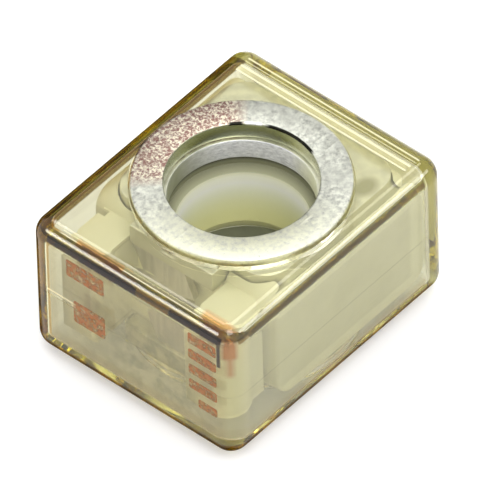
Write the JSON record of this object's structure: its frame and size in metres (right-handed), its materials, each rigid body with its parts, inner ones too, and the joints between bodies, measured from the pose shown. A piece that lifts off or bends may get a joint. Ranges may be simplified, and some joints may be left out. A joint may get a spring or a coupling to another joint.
{
  "type": "stud-mounted battery fuse",
  "caption": "Block-shaped battery fuse for a stud: a clear rounded case around a ceramic body, flat metal contact rings on both faces, and a fusible link at one end.",
  "frame": {"origin": "on the axis of the stud bore, at mid-height", "axes": "+Z along the stud bore, +X along the length of the case and away from the link end, Y across the case"},
  "size_m": [0.02, 0.0162, 0.0116],
  "materials": {
    "clear_case": "clear amber, polished",
    "tin_plate": "matte tin plating",
    "terminal_metal": "dull grey plating",
    "cream_ceramic": "unglazed, fine and smooth",
    "link_metal": "rolled zinc strip"
  },
  "bodies": {
    "root": {"upper_cover": "clear_case", "lower_cover": "clear_case", "upper_contact_ring": "tin_plate", "lower_contact_ring": "tin_plate", "upper_terminal_plate": "terminal_metal", "lower_terminal_plate": "terminal_metal", "ceramic_body": "cream_ceramic", "fuse_link": "link_metal"}
  },
  "joints": []
}
